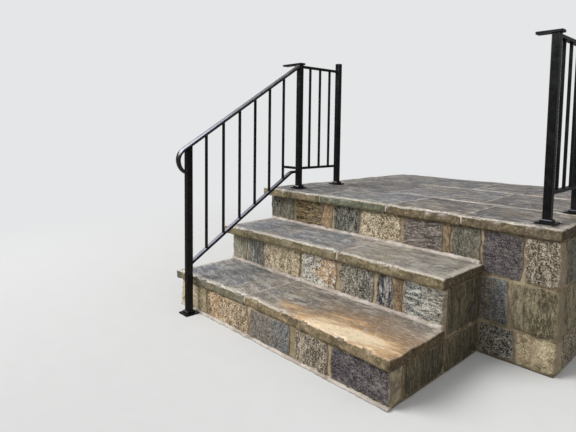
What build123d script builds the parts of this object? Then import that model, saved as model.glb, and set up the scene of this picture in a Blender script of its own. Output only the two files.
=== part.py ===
"""Outdoor stone entry steps: two treads and a landing of flagstone slabs on
masonry, with a black steel stair rail and two short landing guards.

Millimetres, +Z up. X runs to the right along the risers and Y runs from the
bottom step back over the landing. The origin is on the ground, in the middle
of the masonry's footprint.
"""
import os
from math import acos, atan, ceil, cos, pi, sin, tan

from build123d import *

os.makedirs("parts", exist_ok=True)

# Steps and landing
step_width = 1390
landing_width = 1700
landing_depth = 1480
rise_1 = 193
rise_2 = 207
rise_3 = 200
run_1 = 349
run_2 = 314
slab_thickness = 46
side_overhang = 13
mortar_joint = 10

# Slab fronts: how far each row stands out, how far its left end leads, how
# deep its middle draws back, and the shallow bites left by the chisel
front_overhang = 26
tread_1_lead = 5
tread_2_lead = 40
landing_lead = 45
tread_1_bow = 18
bite_pitch = 95
bite_depth = 5
arris = 4

# Slab joints, measured from the left end of the row
tread_1_joint = 569
tread_2_joint = 842
landing_edge_depth = 400
landing_edge_joints = ((452, 391), (892, 915), (1290, 1275))
middle_row_depth = 520
middle_row_joints = ((640, 665), (1180, 1150))
back_row_joints = ((880, 850),)

# Railing sections
post_size = 32
post_corner = 3
baluster_size = 12
bar_width = 25
bar_height = 14
handrail_width = 38
handrail_height = 19
tongue_taper = 0.74

# Railing places
stair_rail_inset = 162
lower_post_stand_off = 54
guard_setback = 77
guard_length = 362
right_guard_inset = 90
guard_height = 763
guard_bottom_gap = 119
end_post_above_rail = 45
front_post_above_rail = 3
tie_plate_thickness = 10
tie_plate_width = 42
tie_reach = 138
tie_overhang = 26
right_plate_reach = 76
guard_baluster_count = 3
first_baluster_gap = 108
baluster_spacing = 110
bottom_rail_bend = 60
bottom_rail_level_run = 53
tongue_start = 32
tongue_nose_radius = 58
tongue_tail_radius = 74
tongue_root = 6

# Post shoes
shoe_plate = 76
shoe_plate_thickness = 6
shoe_collar = 46
shoe_height = 18
shoe_chamfer = 3
shoe_clearance = 0.3

# Levels and lines worked out from the sizes above
tread_1_top = rise_1
tread_2_top = rise_1 + rise_2
landing_top = rise_1 + rise_2 + rise_3
left_end = -landing_width / 2
step_right_end = left_end + step_width
landing_right_end = left_end + landing_width
riser_1_face = -(run_1 + run_2 + landing_depth) / 2
riser_2_face = riser_1_face + run_1
riser_3_face = riser_2_face + run_2
back_face = riser_3_face + landing_depth


def masonry_block(name, front, back, right, height):
    """One storey of the masonry mass, from the ground to the slab's bed."""
    left = left_end + side_overhang
    with BuildPart() as block:
        with BuildSketch(Plane.XY):
            with BuildLine():
                Polyline(
                    (left, front),
                    (right - side_overhang, front),
                    (right - side_overhang, back),
                    (left, back),
                    close=True,
                )
            make_face()
        extrude(amount=height)
    block.part.label = name
    export_step(block.part, f"parts/{name}.step")


storeys = (
    ("bottom_step_base", riser_1_face, riser_2_face, step_right_end, tread_1_top),
    ("middle_step_base", riser_2_face, riser_3_face, step_right_end, tread_2_top),
    ("landing_base", riser_3_face, back_face, landing_right_end, landing_top),
)
for name, front, back, right, top in storeys:
    masonry_block(name, front, back, right, top - slab_thickness)


def front_line(x, riser_face, row_width, lead, bow):
    """Y of a slab row's front edge at x, before the chisel's bites."""
    share = (x - left_end) / row_width
    stand_out = front_overhang + lead * (1 - share) ** 3
    return riser_face - stand_out + bow * 4 * share * (1 - share)


def split_edge(left, right, riser_face, row_width, lead, bow):
    """Points of one slab's split front edge, with a bite between each two."""
    bites = max(2, ceil((right - left) / bite_pitch))
    points = []
    for step in range(2 * bites + 1):
        x = left + (right - left) * step / (2 * bites)
        bite = bite_depth * (0.55 + 0.45 * sin(x * 0.021)) if step % 2 else 0
        points.append((x, front_line(x, riser_face, row_width, lead, bow) + bite))
    return points


def slab(name, front_points, back_left, back_right, back, top):
    """One flagstone with a split front edge and its other edges sawn."""
    with BuildPart() as stone:
        with BuildSketch(Plane.XY.offset(top - slab_thickness)):
            with BuildLine():
                Spline(front_points)
                Polyline(
                    front_points[-1],
                    (back_right, back),
                    (back_left, back),
                    front_points[0],
                )
            make_face()
        extrude(amount=slab_thickness)
        top_edges = stone.edges().group_by(Axis.Z)[-1]
        chamfer(top_edges.sort_by(Axis.Y)[0], length=arris)
    stone.part.label = name
    export_step(stone.part, f"parts/{name}.step")


def flag(name, front, back, lefts, rights, top):
    """One landing flagstone behind the edge row, given its two side joints."""
    with BuildPart() as stone:
        with BuildSketch(Plane.XY.offset(top - slab_thickness)):
            with BuildLine():
                Polyline(
                    (lefts[0], front),
                    (rights[0], front),
                    (rights[1], back),
                    (lefts[1], back),
                    close=True,
                )
            make_face()
        extrude(amount=slab_thickness)
    stone.part.label = name
    export_step(stone.part, f"parts/{name}.step")


def tread(name, joint, riser_face, next_riser_face, top, lead, bow):
    """Two slabs side by side, from the nosing back to the next riser."""
    half_joint = mortar_joint / 2
    spans = (
        (f"{name}_left", left_end, left_end + joint - half_joint),
        (f"{name}_right", left_end + joint + half_joint, step_right_end),
    )
    for slab_name, left, right in spans:
        points = split_edge(left, right, riser_face, step_width, lead, bow)
        slab(slab_name, points, left, right, next_riser_face, top)


tread("tread_1", tread_1_joint, riser_1_face, riser_2_face, tread_1_top, tread_1_lead, tread_1_bow)
tread("tread_2", tread_2_joint, riser_2_face, riser_3_face, tread_2_top, tread_2_lead, 0)


def row_spans(joints):
    """Left and right sides of each slab in a landing row, front and back."""
    half_joint = mortar_joint / 2
    lefts = [(left_end, left_end)]
    rights = []
    for joint_front, joint_back in joints:
        rights.append((left_end + joint_front - half_joint, left_end + joint_back - half_joint))
        lefts.append((left_end + joint_front + half_joint, left_end + joint_back + half_joint))
    rights.append((landing_right_end, landing_right_end))
    return list(zip(lefts, rights))


edge_row_back = riser_3_face + landing_edge_depth
middle_row_front = edge_row_back + mortar_joint
middle_row_back = middle_row_front + middle_row_depth
back_row_front = middle_row_back + mortar_joint

for number, (lefts, rights) in enumerate(row_spans(landing_edge_joints), start=1):
    points = split_edge(lefts[0], rights[0], riser_3_face, landing_width, landing_lead, 0)
    slab(f"landing_edge_{number}", points, lefts[1], rights[1], edge_row_back, landing_top)

landing_flags = [(middle_row_front, middle_row_back, span) for span in row_spans(middle_row_joints)]
landing_flags += [(back_row_front, back_face, span) for span in row_spans(back_row_joints)]
for number, (front, back, (lefts, rights)) in enumerate(landing_flags, start=1):
    flag(f"landing_flag_{number}", front, back, lefts, rights, landing_top)

# The stair rail's plane, its posts and the slope of its two rails, which is
# the slope of the nosings
stair_rail_x = left_end + stair_rail_inset
right_guard_x = landing_right_end - right_guard_inset
lower_post_y = riser_1_face - lower_post_stand_off
front_post_y = riser_3_face + guard_setback
end_post_y = front_post_y + guard_length
rail_slope = (rise_2 + rise_3) / (run_1 + run_2)
rail_angle = atan(rail_slope)
guard_top = landing_top + guard_height
front_post_top = guard_top + front_post_above_rail
end_post_top = guard_top + end_post_above_rail
guard_bottom_z = landing_top + guard_bottom_gap
half_post = post_size / 2
front_post_face = front_post_y - half_post
bend_y = front_post_face - bottom_rail_level_run
bend_z = guard_bottom_z - bar_height


def handrail_over(y):
    """Height of the sloping handrail's crown, which meets the post's head."""
    return front_post_top + rail_slope * (y - front_post_face)


def handrail_mid(y):
    """Height of the sloping handrail's middle at y."""
    return handrail_over(y) - handrail_height / 2 / cos(rail_angle)


def handrail_under(y):
    """Height of the sloping handrail's flat underside at y."""
    return handrail_over(y) - handrail_height / cos(rail_angle)


def bottom_rail_mid(y):
    """Height of the stair's sloping bottom rail at y, in front of its bend."""
    return bend_z + rail_slope * (y - bend_y)


def bottom_rail_over(y):
    """Height of the bottom rail's top face at y."""
    return bottom_rail_mid(y) + bar_height / 2 / cos(rail_angle)


def upright(name, x, y, size, foot_front, foot_back, top_front, top_back, corner):
    """A square bar whose two ends are cut to the slopes that they meet."""
    near = y - size / 2
    far = y + size / 2
    with BuildPart() as bar:
        with BuildSketch(Plane.YZ.offset(x - size / 2)):
            with BuildLine():
                Polyline(
                    (near, foot_front),
                    (far, foot_back),
                    (far, top_back),
                    (near, top_front),
                    close=True,
                )
            make_face()
        extrude(amount=size)
        if corner > 0:
            fillet(bar.edges().filter_by(Axis.Z), radius=corner)
    bar.part.label = name
    export_step(bar.part, f"parts/{name}.step")


def shoe(name, x, y, ground):
    """A base plate with a low chamfered collar that the post passes through."""
    with BuildPart() as foot:
        with BuildSketch(Plane.XY.offset(ground)):
            with Locations((x, y)):
                RectangleRounded(shoe_plate, shoe_plate, post_corner)
        extrude(amount=shoe_plate_thickness)
        with BuildSketch(Plane.XY.offset(ground + shoe_plate_thickness)):
            with Locations((x, y)):
                Rectangle(shoe_collar, shoe_collar)
        extrude(amount=shoe_height - shoe_plate_thickness)
        rim = foot.faces().sort_by(Axis.Z)[-1]
        chamfer(rim.edges(), length=shoe_chamfer)
        with BuildSketch(Plane.XY.offset(ground)):
            with Locations((x, y)):
                Rectangle(post_size + 2 * shoe_clearance, post_size + 2 * shoe_clearance)
        extrude(amount=shoe_height, mode=Mode.SUBTRACT)
    foot.part.label = name
    export_step(foot.part, f"parts/{name}.step")


def level_bar(name, x, start, end, middle_height):
    """A level channel bar along Y, with its ends square."""
    with BuildPart() as bar:
        with BuildSketch(Plane(origin=(x, start, middle_height), x_dir=(1, 0, 0), z_dir=(0, 1, 0))):
            Rectangle(bar_width, bar_height)
        extrude(amount=end - start)
    bar.part.label = name
    export_step(bar.part, f"parts/{name}.step")


# The foot of the stair rail
upright(
    "lower_post",
    stair_rail_x,
    lower_post_y,
    post_size,
    0,
    0,
    handrail_under(lower_post_y - half_post),
    handrail_under(lower_post_y + half_post),
    post_corner,
)
shoe("lower_post_shoe", stair_rail_x, lower_post_y, 0)


def guard(name, x, one_node):
    """A short landing guard: two posts, two bars and the balusters between."""
    tops = ((f"{name}_front", front_post_y, front_post_top), (f"{name}_end", end_post_y, end_post_top))
    for post_name, y, top in tops:
        upright(f"{post_name}_post", x, y, post_size, landing_top, landing_top, top, top, post_corner)
        shoe(f"{post_name}_shoe", x, y, landing_top)
    start = front_post_y + half_post
    end = end_post_y - half_post
    level_bar(f"{name}_top_rail", x, start, end, guard_top - bar_height / 2)
    level_bar(f"{name}_bottom_rail", x, start, end, guard_bottom_z + bar_height / 2)
    spacing = guard_length / (guard_baluster_count + 1)
    foot = guard_bottom_z + bar_height
    height = guard_top - bar_height - foot
    centres = [front_post_y + spacing * (place + 1) for place in range(guard_baluster_count)]
    if one_node:
        with BuildPart() as row:
            with BuildSketch(Plane.XY.offset(foot)):
                with Locations(*[(x, y) for y in centres]):
                    Rectangle(baluster_size, baluster_size)
            extrude(amount=height)
        row.part.label = f"{name}_balusters"
        export_step(row.part, f"parts/{name}_balusters.step")
    else:
        for number, y in enumerate(centres, start=1):
            bar_name = f"{name}_baluster_{number}"
            upright(bar_name, x, y, baluster_size, foot, foot, foot + height, foot + height, 0)


guard("left_guard", stair_rail_x, one_node=False)
guard("right_guard", right_guard_x, one_node=True)


def top_plate(name, x, reach):
    """The flat plate on a front post's head, which reaches out to its left."""
    with BuildPart() as plate:
        with BuildSketch(Plane.XY.offset(front_post_top)):
            with Locations((x + (tie_overhang - reach) / 2, front_post_y)):
                Rectangle(reach + tie_overhang, tie_plate_width)
        extrude(amount=tie_plate_thickness)
        fillet(plate.edges().filter_by(Axis.Z), radius=post_corner)
    plate.part.label = name
    export_step(plate.part, f"parts/{name}.step")


top_plate("left_top_tie", stair_rail_x, tie_reach)
top_plate("right_top_plate", right_guard_x, right_plate_reach)

with BuildPart() as left_bottom_tie:
    tie_plane = Plane(
        origin=(stair_rail_x - half_post, front_post_y, guard_bottom_z + bar_height / 2),
        x_dir=(0, 1, 0),
        z_dir=(-1, 0, 0),
    )
    with BuildSketch(tie_plane):
        Rectangle(bar_width, bar_height)
    extrude(amount=tie_reach - half_post)
left_bottom_tie.part.label = "left_bottom_tie"
export_step(left_bottom_tie.part, "parts/left_bottom_tie.step")

# The stair's bottom rail: it climbs with the steps, then bends level into
# the landing's front post
lower_post_back = lower_post_y + half_post
bottom_rail_foot = bottom_rail_mid(lower_post_y)
with BuildPart() as stair_bottom_rail:
    with BuildLine(Plane.YZ.offset(stair_rail_x)):
        FilletPolyline(
            (lower_post_y, bottom_rail_foot),
            (bend_y, bend_z),
            (front_post_face, bend_z),
            radius=bottom_rail_bend,
        )
    start_plane = Plane(
        origin=(stair_rail_x, lower_post_y, bottom_rail_foot),
        x_dir=(1, 0, 0),
        z_dir=(0, cos(rail_angle), sin(rail_angle)),
    )
    with BuildSketch(start_plane):
        Rectangle(bar_width, bar_height)
    sweep()
    split(bisect_by=Plane(origin=(0, lower_post_back, 0), x_dir=(1, 0, 0), z_dir=(0, 1, 0)), keep=Keep.TOP)
stair_bottom_rail.part.label = "stair_bottom_rail"
export_step(stair_bottom_rail.part, "parts/stair_bottom_rail.step")

# The balusters stand on the sloping stretch, as many as fit in front of its bend
first_baluster_y = lower_post_y + first_baluster_gap
slope_end_y = bend_y - bottom_rail_bend * tan(rail_angle / 2) - baluster_size / 2
stair_baluster_count = int((slope_end_y - first_baluster_y) // baluster_spacing) + 1
for number in range(1, stair_baluster_count + 1):
    y = first_baluster_y + baluster_spacing * (number - 1)
    near = y - baluster_size / 2
    far = y + baluster_size / 2
    upright(
        f"stair_baluster_{number}",
        stair_rail_x,
        y,
        baluster_size,
        bottom_rail_over(near),
        bottom_rail_over(far),
        handrail_under(near),
        handrail_under(far),
        0,
    )


def handrail_section(plane, size):
    """The moulded rail's section: flat foot, bevelled lips and a crown of five flats."""
    half_width = handrail_width / 2 * size
    half_height = handrail_height / 2 * size
    right_side = (
        (half_width * 0.66, -half_height),
        (half_width * 0.66, -half_height * 0.45),
        (half_width * 0.94, -half_height * 0.3),
        (half_width, half_height * 0.1),
        (half_width * 0.86, half_height * 0.5),
        (half_width * 0.56, half_height * 0.86),
        (half_width * 0.2, half_height),
    )
    left_side = [(-across, height) for across, height in reversed(right_side)]
    with BuildSketch(plane) as section:
        with BuildLine():
            Polyline(*left_side, *right_side, close=True)
        make_face()
    return section.sketch


def on_arc(centre_y, centre_z, radius, angle):
    """A point of an arc in the rail's plane."""
    return (centre_y + radius * cos(angle), centre_z + radius * sin(angle))


# The handrail: a straight moulded run from the front post down over the lower
# post, cut square to its slope where the tongue is welded on
run_end_y = lower_post_y - tongue_start
run_end_z = handrail_mid(run_end_y)
run_length = (front_post_y - run_end_y) / cos(rail_angle)
downhill = (0, -cos(rail_angle), -sin(rail_angle))
run_end = Plane(origin=(stair_rail_x, run_end_y, run_end_z), x_dir=(1, 0, 0), z_dir=downhill)
with BuildPart() as stair_handrail:
    extrude(handrail_section(run_end, 1), amount=-run_length)
    post_face = Plane(origin=(0, front_post_face, 0), x_dir=(1, 0, 0), z_dir=(0, -1, 0))
    split(bisect_by=post_face, keep=Keep.TOP)
stair_handrail.part.label = "stair_handrail"
export_step(stair_handrail.part, "parts/stair_handrail.step")

# The tongue: the same moulding turned down and back under itself into the
# post's front, slimming as it goes
nose_y = run_end_y - tongue_nose_radius * (1 - sin(rail_angle))
nose_z = run_end_z - tongue_nose_radius * cos(rail_angle)
tail_y = lower_post_y - half_post + tongue_root
tail_turn = acos(1 - (tail_y - nose_y) / tongue_tail_radius)
tail_z = nose_z - tongue_tail_radius * sin(tail_turn)
with BuildPart() as handrail_tongue:
    with BuildLine(Plane.YZ.offset(stair_rail_x)) as tongue_path:
        ThreePointArc(
            (run_end_y, run_end_z),
            on_arc(nose_y + tongue_nose_radius, nose_z, tongue_nose_radius, pi * 3 / 4 + rail_angle / 2),
            (nose_y, nose_z),
        )
        ThreePointArc(
            (nose_y, nose_z),
            on_arc(nose_y + tongue_tail_radius, nose_z, tongue_tail_radius, pi + tail_turn / 2),
            (tail_y, tail_z),
        )
    tail_heading = (0, sin(tail_turn), -cos(tail_turn))
    tail_end = Plane(origin=(stair_rail_x, tail_y, tail_z), x_dir=(1, 0, 0), z_dir=tail_heading)
    tongue_sections = [handrail_section(run_end, 1), handrail_section(tail_end, tongue_taper)]
    sweep(sections=tongue_sections, path=tongue_path.line, multisection=True)
    with BuildSketch(Plane.XY):
        with Locations((stair_rail_x, lower_post_y)):
            Rectangle(post_size, post_size)
    extrude(amount=nose_z, mode=Mode.SUBTRACT)
handrail_tongue.part.label = "handrail_tongue"
export_step(handrail_tongue.part, "parts/handrail_tongue.step")
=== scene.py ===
"""Outdoor stone steps with a steel railing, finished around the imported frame.

Metres, in the frame's own axes: X to the right along the risers, Y from the
bottom step back over the landing, Z up from the ground.
"""
import math
import random

import bpy
import numpy as np
from mathutils import Matrix, Vector


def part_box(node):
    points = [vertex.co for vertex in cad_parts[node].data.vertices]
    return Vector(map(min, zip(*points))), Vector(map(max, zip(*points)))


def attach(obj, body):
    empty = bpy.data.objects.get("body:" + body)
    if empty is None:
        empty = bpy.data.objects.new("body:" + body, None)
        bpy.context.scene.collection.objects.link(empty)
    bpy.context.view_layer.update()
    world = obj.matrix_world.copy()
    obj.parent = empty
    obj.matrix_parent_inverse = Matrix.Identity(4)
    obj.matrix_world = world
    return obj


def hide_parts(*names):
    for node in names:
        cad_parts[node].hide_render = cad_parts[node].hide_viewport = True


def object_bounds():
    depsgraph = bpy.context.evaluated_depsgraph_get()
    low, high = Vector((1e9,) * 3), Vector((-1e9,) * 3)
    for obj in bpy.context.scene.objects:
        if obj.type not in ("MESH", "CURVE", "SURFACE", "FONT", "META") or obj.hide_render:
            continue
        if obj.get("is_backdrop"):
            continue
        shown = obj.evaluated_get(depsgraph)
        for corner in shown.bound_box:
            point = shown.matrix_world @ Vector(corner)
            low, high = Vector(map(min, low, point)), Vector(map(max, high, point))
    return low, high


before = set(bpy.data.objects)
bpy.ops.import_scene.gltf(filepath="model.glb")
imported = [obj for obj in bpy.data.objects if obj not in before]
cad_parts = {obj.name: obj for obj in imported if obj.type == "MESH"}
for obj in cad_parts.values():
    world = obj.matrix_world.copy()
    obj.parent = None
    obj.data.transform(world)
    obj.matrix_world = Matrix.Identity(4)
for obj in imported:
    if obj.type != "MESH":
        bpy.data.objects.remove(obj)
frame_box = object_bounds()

# The rubble core. Each step and the landing are built up in rubble and lime
# mortar, and the facing stones are bedded against it. Between the stones the
# mortar shows, struck almost flush with their faces.
core_nodes = ("bottom_step_base", "middle_step_base", "landing_base")
joint_recess = 0.003
back_recess = 0.008
core_cell = 0.02
trowel_marks = 0.0015


class Wire:
    """A socket of a node tree. Python's arithmetic on it adds Math nodes."""

    def __init__(self, tree, socket=None):
        self.tree = tree
        self.socket = socket

    def node(self, kind, settings=None, inputs=None, output=0):
        """Adds a node: settings first, then the values or links of its sockets."""
        made = self.tree.nodes.new(kind)
        for name, value in (settings or {}).items():
            setattr(made, name, value)
        for name, value in (inputs or {}).items():
            if isinstance(value, Wire):
                self.tree.links.new(value.socket, made.inputs[name])
            else:
                made.inputs[name].default_value = value
        return Wire(self.tree, made.outputs[output] if len(made.outputs) else None)

    def other(self, output):
        """Another output of the node that this wire comes from."""
        return Wire(self.tree, self.socket.node.outputs[output])

    def math(self, operation, *values):
        return self.node("ShaderNodeMath", {"operation": operation}, dict(enumerate(values)))

    def vector(self, operation, *values):
        return self.node("ShaderNodeVectorMath", {"operation": operation}, dict(enumerate(values)))

    def scaled(self, factor):
        return self.node("ShaderNodeVectorMath", {"operation": "SCALE"}, {0: self, "Scale": factor})

    def __add__(self, other):
        return self.math("ADD", self, other)

    def __sub__(self, other):
        return self.math("SUBTRACT", self, other)

    def __mul__(self, other):
        return self.math("MULTIPLY", self, other)

    def __rsub__(self, other):
        return self.math("SUBTRACT", other, self)

    __radd__ = __add__
    __rmul__ = __mul__


def rise(value, low, high):
    """A mask that climbs smoothly from 0 at low to 1 at high."""
    settings = {"interpolation_type": "SMOOTHSTEP"}
    return value.node("ShaderNodeMapRange", settings, {0: value, 1: low, 2: high})


def blend(first, second, factor):
    """A colour between first and second, either of which may be a plain colour."""
    return factor.node("ShaderNodeMix", {"data_type": "RGBA"}, {0: factor, 6: first, 7: second}, 2)


def noise(place, scale, detail, roughness=0.5, distortion=0.0, output="Fac"):
    """Cloudy noise at a place, mostly between 0.3 and 0.7."""
    sizes = {
        "Vector": place, "Scale": scale, "Detail": detail,
        "Roughness": roughness, "Distortion": distortion,
    }
    return place.node("ShaderNodeTexNoise", None, sizes, output)


def cells(place, scale, output="Distance"):
    """Cells like crystals or chisel bites at a place."""
    return place.node("ShaderNodeTexVoronoi", None, {"Vector": place, "Scale": scale}, output)


def paint(red, green, blue):
    """A colour from its three 0 to 255 levels, as a painter's chart gives them."""
    levels = [level / 255 for level in (red, green, blue)]
    linear = [level / 12.92 if level <= 0.04045 else ((level + 0.055) / 1.055) ** 2.4 for level in levels]
    return (*linear, 1.0)


def new_finish(name):
    """An empty material and the wire that starts its node tree."""
    finish = bpy.data.materials.new(name)
    finish.use_nodes = True
    finish.node_tree.nodes.clear()
    return finish, Wire(finish.node_tree)


def attribute(start, name, output="Fac"):
    """A value or vector that a piece's mesh carries for its material."""
    return start.node("ShaderNodeAttribute", {"attribute_name": name}, None, output)


def end_finish(colour, dullness, height, relief, sheen):
    """Ends a material: its colour, its gloss and a fine relief of so many metres."""
    bump = colour.node("ShaderNodeBump", None, {"Strength": 1.0, "Distance": relief, "Height": height})
    skin = {"Base Color": colour, "Roughness": dullness, "Specular IOR Level": sheen, "Normal": bump}
    shader = colour.node("ShaderNodeBsdfPrincipled", None, skin)
    colour.node("ShaderNodeOutputMaterial", None, {"Surface": shader})


def new_tree(name, sizes):
    """A Geometry Nodes tree with named inputs. Gives the tree and its inputs."""
    tree = bpy.data.node_groups.new(name, "GeometryNodeTree")
    tree.interface.new_socket("Geometry", in_out="INPUT", socket_type="NodeSocketGeometry")
    for label, kind in sizes.items():
        tree.interface.new_socket(label, in_out="INPUT", socket_type="NodeSocket" + kind)
    tree.interface.new_socket("Geometry", in_out="OUTPUT", socket_type="NodeSocketGeometry")
    entry = tree.nodes.new("NodeGroupInput")
    return tree, {socket.name: Wire(tree, socket) for socket in entry.outputs if socket.name}


def end_tree(geometry, finish):
    """Ends a tree in Realize Instances, smooth shading and Set Material."""
    solid = geometry.node("GeometryNodeRealizeInstances", None, {"Geometry": geometry})
    smooth = geometry.node("GeometryNodeSetShadeSmooth", None, {"Geometry": solid})
    dressed = geometry.node("GeometryNodeSetMaterial", None, {"Geometry": smooth, "Material": finish})
    way_out = geometry.tree.nodes.new("NodeGroupOutput")
    geometry.tree.links.new(dressed.socket, way_out.inputs[0])


def moved(geometry, offset):
    """Shifts a geometry's points."""
    return geometry.node("GeometryNodeSetPosition", None, {"Geometry": geometry, "Offset": offset})


def put(geometry, position):
    """Sets a geometry's points to new places."""
    return geometry.node("GeometryNodeSetPosition", None, {"Geometry": geometry, "Position": position})


def plain_copy(piece):
    """A plain mesh of a piece as its modifiers shape it."""
    graph = bpy.context.evaluated_depsgraph_get()
    shaped = piece.evaluated_get(graph)
    return bpy.data.meshes.new_from_object(shaped, preserve_all_data_layers=True, depsgraph=graph)


def grow(name, mesh, tree, sizes):
    """Runs a tree on a mesh and keeps the result as a plain mesh."""
    piece = bpy.data.objects.new(name, mesh)
    bpy.context.scene.collection.objects.link(piece)
    growth = piece.modifiers.new(tree.name, "NODES")
    growth.node_group = tree
    for socket in tree.interface.items_tree:
        if socket.in_out == "INPUT" and socket.name in sizes:
            growth[socket.identifier] = sizes[socket.name]
    grown = plain_copy(piece)
    piece.modifiers.remove(growth)
    piece.data = grown
    grown.name = name
    return piece


def bare_mesh(name, points, edges=()):
    """A mesh of loose points and edges for a tree to work on."""
    mesh = bpy.data.meshes.new(name)
    mesh.from_pydata([tuple(point) for point in points], list(edges), [])
    return mesh


mortar, start = new_finish("lime_mortar")
place = start.node("ShaderNodeTexCoord", output="Object")
sand = noise(place, 300, 5, 0.75)
cloud = noise(place, 8, 5, 0.6)
lime = blend(paint(146, 130, 102), paint(176, 162, 136), rise(cloud, 0.44, 0.56))
lime = blend(lime, paint(112, 98, 74), rise(noise(place, 24, 5, 0.7), 0.52, 0.60) * 0.6)
lime = blend(lime, paint(80, 72, 60), rise(sand, 0.53, 0.63) * 0.5)
lime = blend(lime, paint(196, 186, 166), rise(1 - sand, 0.53, 0.63) * 0.4)
end_finish(lime, 0.95 - cloud * 0.1, sand + noise(place, 60, 3), relief=0.002, sheen=0.25)

core_tree, given = new_tree(
    "rubble core",
    {"Low": "Vector", "High": "Vector", "Cell": "Float", "Trowel marks": "Float", "Finish": "Material"},
)
span = given["High"].vector("SUBTRACT", given["High"], given["Low"])
counts = span.node("ShaderNodeSeparateXYZ", None, {0: span.vector("DIVIDE", span, given["Cell"])})
block_sizes = {
    "Size": span, "Vertices X": counts, "Vertices Y": counts.other(1), "Vertices Z": counts.other(2),
}
block = span.node("GeometryNodeMeshCube", None, block_sizes)
block = moved(block, span.vector("ADD", given["Low"], given["High"]).scaled(0.5))
lumps = noise(block.node("GeometryNodeInputPosition"), 24, 3) - 0.5
outward = block.node("GeometryNodeInputNormal")
level = outward.vector("MULTIPLY", outward, (1, 1, 0))
block = moved(block, level.scaled(lumps * given["Trowel marks"] * 2))
end_tree(block, given["Finish"])

for node in core_nodes:
    low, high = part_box(node)
    sizes = {
        "Low": tuple(np.array(low) + (joint_recess, joint_recess, 0)),
        "High": tuple(np.array(high) - (joint_recess, back_recess, 0)),
        "Cell": core_cell,
        "Trowel marks": trowel_marks,
        "Finish": mortar,
    }
    core = grow(node.replace("base", "core"), bare_mesh(node, [(0, 0, 0)]), core_tree, sizes)
    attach(core, "root")
    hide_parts(node)

# The facing stones. Split fieldstones, one course to each riser and three to
# the landing's sides, squared by hammer and bedded with open vertical joints.
# Their kinds differ: granite, slate and layered schist, some stained by iron.
corner_round = 0.006
tight_fit = 0.0015
corner_pull = 0.045
outline_wobble = 0.020
face_relief = 0.008
most_raised = 0.003
most_sunk = 0.0045
through_sway = 0.2
crowding = 1.3
stone_proud = 0.003
stone_depth = 0.045
corner_depth = 0.072
corner_lap = 0.005
right_returns = (0.072, 0.032, 0.045)
course_joint = 0.008
room_margin = 0.0005
course_tops = (0.143, 0.350, 0.548)
cheek_share = 0.55
# the way through the noise from one stone to the next, so that no two are alike
pattern_step = (1.7, 2.3, 0.9)
# points of a stone's grid across, through and up, on the fine walls and on the plain ones
fine_grid = (61, 7, 27)
plain_grid = (29, 5, 15)

stone_kinds = {
    # two ground colours, dark and pale specks, their shares of patches and flecks, and the grain
    "tan": ((199, 178, 144), (170, 152, 119), (95, 78, 54), (245, 233, 197), 0.45, 0.5, (1, 1, 1)),
    "golden": ((183, 154, 116), (146, 134, 112), (66, 47, 30), (243, 216, 179), 0.85, 0.9, (1, 1, 1)),
    "brown": ((111, 101, 89), (95, 101, 103), (53, 49, 45), (175, 168, 157), 0.45, 0.8, (1.2, 1.2, 0.8)),
    "flecked": ((123, 109, 91), (113, 100, 81), (45, 36, 25), (215, 203, 180), 0.8, 1.0, (1.7, 1.7, 0.6)),
    "slate": ((74, 66, 69), (82, 76, 73), (28, 24, 28), (162, 153, 148), 0.4, 0.6, (0.9, 0.9, 1.8)),
    "blue": ((42, 46, 58), (67, 63, 60), (12, 13, 18), (196, 190, 184), 0.95, 0.5, (1.3, 1.3, 0.4)),
    "green": ((145, 140, 121), (126, 123, 110), (68, 66, 54), (198, 191, 172), 0.5, 0.6, (1.6, 1.6, 0.5)),
    "streaked": ((133, 133, 121), (113, 113, 103), (60, 60, 52), (206, 202, 189), 0.8, 0.6, (2.2, 2.2, 0.5)),
    "tan_yellow": ((203, 181, 150), (189, 171, 135), (70, 54, 36), (247, 237, 208), 0.75, 0.9, (1, 1, 1)),
    "salt": ((197, 189, 175), (208, 161, 107), (58, 54, 50), (246, 244, 229), 0.9, 0.9, (1, 1, 1)),
    "olive": ((112, 105, 91), (84, 87, 87), (36, 33, 26), (203, 196, 179), 0.85, 1.0, (1.2, 1.2, 0.9)),
    "rust": ((146, 122, 92), (127, 108, 86), (66, 50, 35), (196, 173, 139), 0.6, 0.6, (1.4, 1.4, 0.8)),
    "orange": ((174, 143, 106), (156, 132, 102), (86, 64, 40), (225, 201, 166), 0.5, 0.6, (1.4, 1.4, 0.6)),
    "white": ((110, 115, 116), (149, 145, 132), (50, 49, 47), (224, 220, 207), 0.9, 0.7, (0.5, 0.5, 1.4)),
    "dark_green": ((98, 94, 81), (114, 107, 94), (44, 42, 33), (165, 161, 141), 0.5, 0.6, (1.6, 1.6, 0.7)),
    "layered": ((129, 107, 70), (87, 82, 63), (24, 20, 13), (201, 177, 135), 1.0, 0.6, (0.45, 0.45, 3.0)),
    "dark_grey": ((76, 78, 69), (95, 87, 74), (24, 25, 21), (170, 166, 152), 1.0, 0.8, (1.7, 1.7, 0.5)),
    "cream": ((184, 166, 136), (166, 147, 114), (66, 49, 28), (243, 230, 201), 0.85, 1.0, (1, 1, 1)),
    "purple": ((114, 103, 99), (101, 95, 82), (53, 46, 43), (180, 169, 159), 0.85, 0.7, (0.6, 0.6, 2.8)),
    "cheek": ((97, 88, 64), (73, 68, 51), (24, 22, 11), (150, 139, 112), 0.6, 0.3, (2.4, 2.4, 0.35)),
    "cheek_light": ((134, 123, 97), (99, 91, 67), (42, 36, 21), (184, 173, 143), 0.6, 0.4, (2.0, 2.0, 0.5)),
}
plain_kinds = ("cheek", "olive", "brown", "tan", "slate", "dark_green", "cheek_light", "flecked")


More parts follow.
